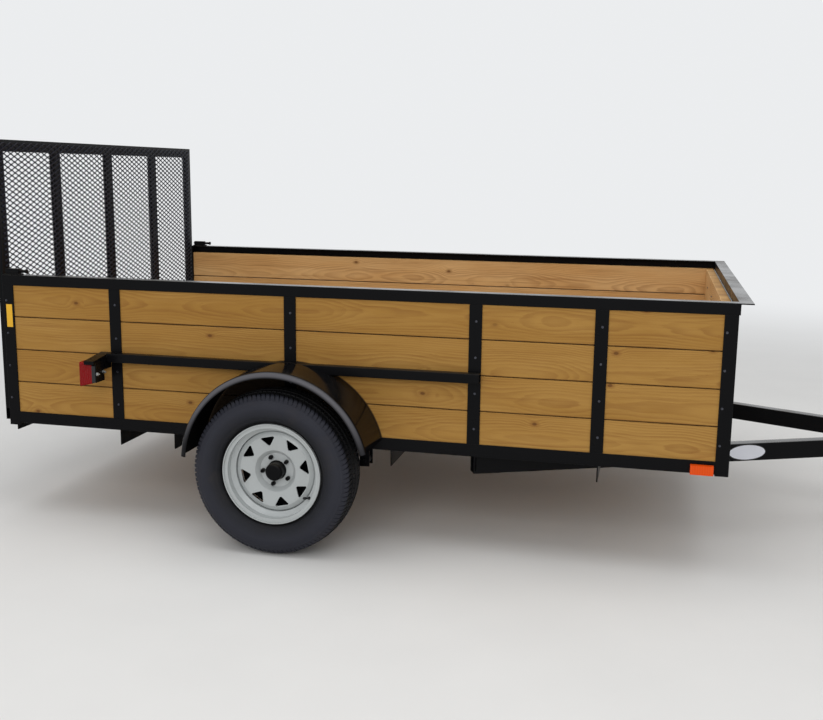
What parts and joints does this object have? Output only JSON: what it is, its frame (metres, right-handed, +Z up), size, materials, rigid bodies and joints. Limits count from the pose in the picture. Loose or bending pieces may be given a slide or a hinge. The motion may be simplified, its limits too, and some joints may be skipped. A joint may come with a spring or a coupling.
{
  "type": "utility trailer",
  "caption": "Single-axle utility trailer with wooden sides on an angle-iron frame, mesh ramp gate, fenders, A-frame drawbar, ball coupler and parking jack.",
  "frame": {"origin": "on the ground, midway between the gate's rear face and the coupler's nose, on the centre plane", "axes": "+X forward to the coupler, +Y to the trailer's left side, +Z up"},
  "size_m": [4.2117, 2.4124, 1.638],
  "materials": {
    "black_paint": "satin black enamel",
    "gloss_black": "gloss black enamel",
    "pine_boards": "yellow pine, clear, light grain",
    "floor_pine": "treated pine planks",
    "tyre": "dull black rubber",
    "wheel_paint": "light grey paint",
    "zinc": "zinc plated",
    "spring_steel": "matt black spring steel",
    "red_lens": "red lens",
    "amber_lens": "amber lens",
    "black_plastic": "black housing",
    "mesh_steel": "black expanded mesh"
  },
  "bodies": {
    "chassis": {"rail_bottom_right": "black_paint", "rail_bottom_left": "black_paint", "rail_top_right": "black_paint", "rail_top_left": "black_paint", "rail_top_front": "black_paint", "rail_middle_right": "black_paint", "rail_middle_left": "black_paint", "posts_right": "black_paint", "posts_left": "black_paint", "corner_posts_front": "black_paint", "corner_posts_rear": "black_paint", "sill_front": "black_paint", "sill_rear": "black_paint", "cross_members": "black_paint", "boards_right": "pine_boards", "boards_left": "pine_boards", "boards_front": "pine_boards", "floor_planks": "floor_pine", "tongue_right": "black_paint", "tongue_left": "black_paint", "coupler": "black_paint", "coupler_latch": "zinc", "jack_tube": "black_paint", "jack_crank": "black_paint", "axle": "black_paint", "leaf_springs": "spring_steel", "spring_hangers": "black_paint", "axle_u_bolts": "zinc", "fender_right": "gloss_black", "fender_left": "gloss_black", "tail_light_brackets": "black_paint", "tail_light_housings": "black_plastic", "tail_light_lenses": "red_lens", "marker_lamps": "amber_lens", "gate_hinges": "black_paint", "gate_latches": "black_paint"},
    "wheel_right": {"tyre_right": "tyre", "rim_right": "wheel_paint", "hub_right": "black_paint"},
    "wheel_left": {"tyre_left": "tyre", "rim_left": "wheel_paint", "hub_left": "black_paint"},
    "gate": {"gate_frame": "black_paint", "gate_mesh": "mesh_steel"},
    "jack": {"jack_leg": "zinc"}
  },
  "joints": [
    {"name": "wheel_right_spin", "type": "hinge", "parent": "chassis", "child": "wheel_right", "pos_m": [-0.7713, -1.0902, 0.334], "axis": [0, 1, 0], "continuous": true},
    {"name": "wheel_left_spin", "type": "hinge", "parent": "chassis", "child": "wheel_left", "pos_m": [-0.7713, 1.0902, 0.334], "axis": [0, 1, 0], "continuous": true},
    {"name": "gate_fold", "type": "hinge", "parent": "chassis", "child": "gate", "pos_m": [-2.093, 0, 0.399], "axis": [0, -1, 0], "range_deg": [0, 107.5]},
    {"name": "jack_slide", "type": "slide", "parent": "chassis", "child": "jack", "axis": [0, 0, 1], "range_m": [0, 0.254]}
  ]
}
